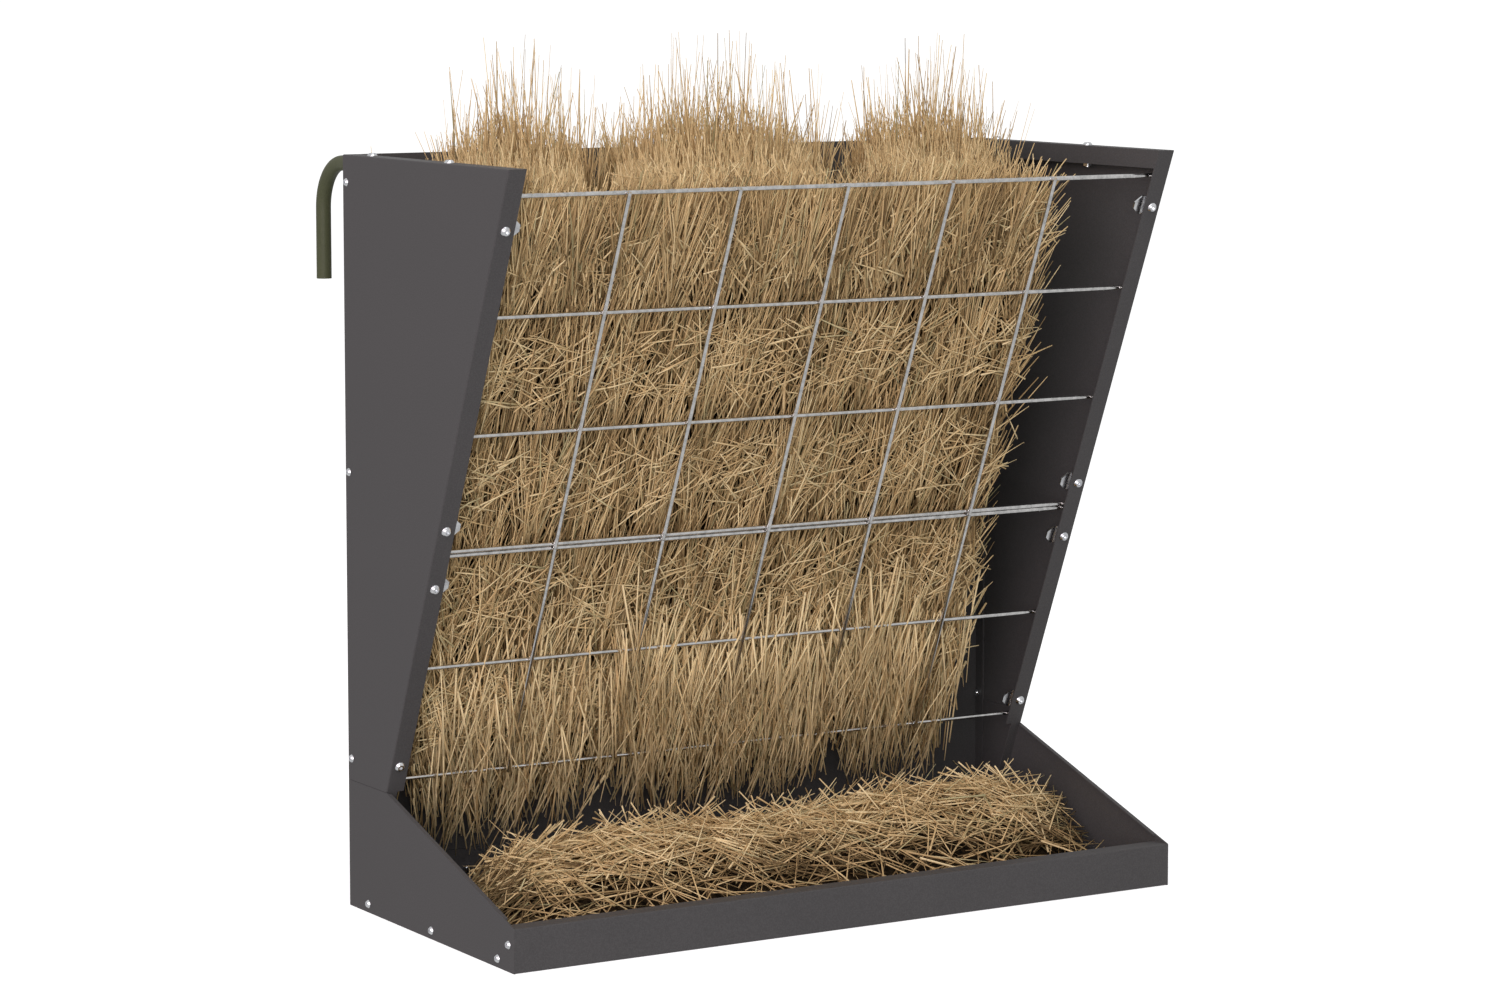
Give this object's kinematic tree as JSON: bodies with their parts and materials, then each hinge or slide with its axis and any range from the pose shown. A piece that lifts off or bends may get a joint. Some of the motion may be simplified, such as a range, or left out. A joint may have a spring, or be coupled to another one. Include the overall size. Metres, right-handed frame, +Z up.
{
  "type": "hay rack feeder",
  "caption": "Sheet-metal hay rack with a sloping wire-mesh front over a shallow trough and hooks at the back, filled with hay that lifts out.",
  "frame": {"origin": "on the floor under the centre of the whole outline, hooks and hay included", "axes": "+Z up; the mesh, the lip and the open front face -Y; the back panel and the hooks are on +Y; +X is to the right as an animal faces the mesh"},
  "size_m": [0.7044, 0.39, 0.806],
  "materials": {
    "anthracite_paint": "satin",
    "galvanised_wire": "satin",
    "zinc_plate": "satin",
    "green_paint": "satin",
    "hay": "matte"
  },
  "bodies": {
    "rack": {"side_panel_left": "anthracite_paint", "side_panel_right": "anthracite_paint", "trough_end_left": "anthracite_paint", "trough_end_right": "anthracite_paint", "back_panel": "anthracite_paint", "trough_pan": "anthracite_paint", "mesh_upper": "galvanised_wire", "mesh_lower": "galvanised_wire", "hook_left": "green_paint", "hook_right": "green_paint", "mesh_clips": "zinc_plate", "mesh_bolts": "zinc_plate", "mesh_nuts": "zinc_plate", "hook_bolts": "zinc_plate", "hook_nuts": "zinc_plate", "side_panel_bolts": "zinc_plate", "side_panel_nuts": "zinc_plate", "trough_bolts": "zinc_plate", "trough_nuts": "zinc_plate", "upstand_bolts": "zinc_plate", "upstand_nuts": "zinc_plate"},
    "hopper_hay": {"hopper_hay": "hay"},
    "trough_hay": {"trough_hay": "hay"}
  },
  "joints": [
    {"name": "hopper_hay_lift", "type": "slide", "parent": "rack", "child": "hopper_hay", "axis": [0, 0, 1], "range_m": [0, 0.6]},
    {"name": "trough_hay_lift", "type": "slide", "parent": "rack", "child": "trough_hay", "axis": [0, -0.5, 0.866], "range_m": [0, 0.6]}
  ]
}
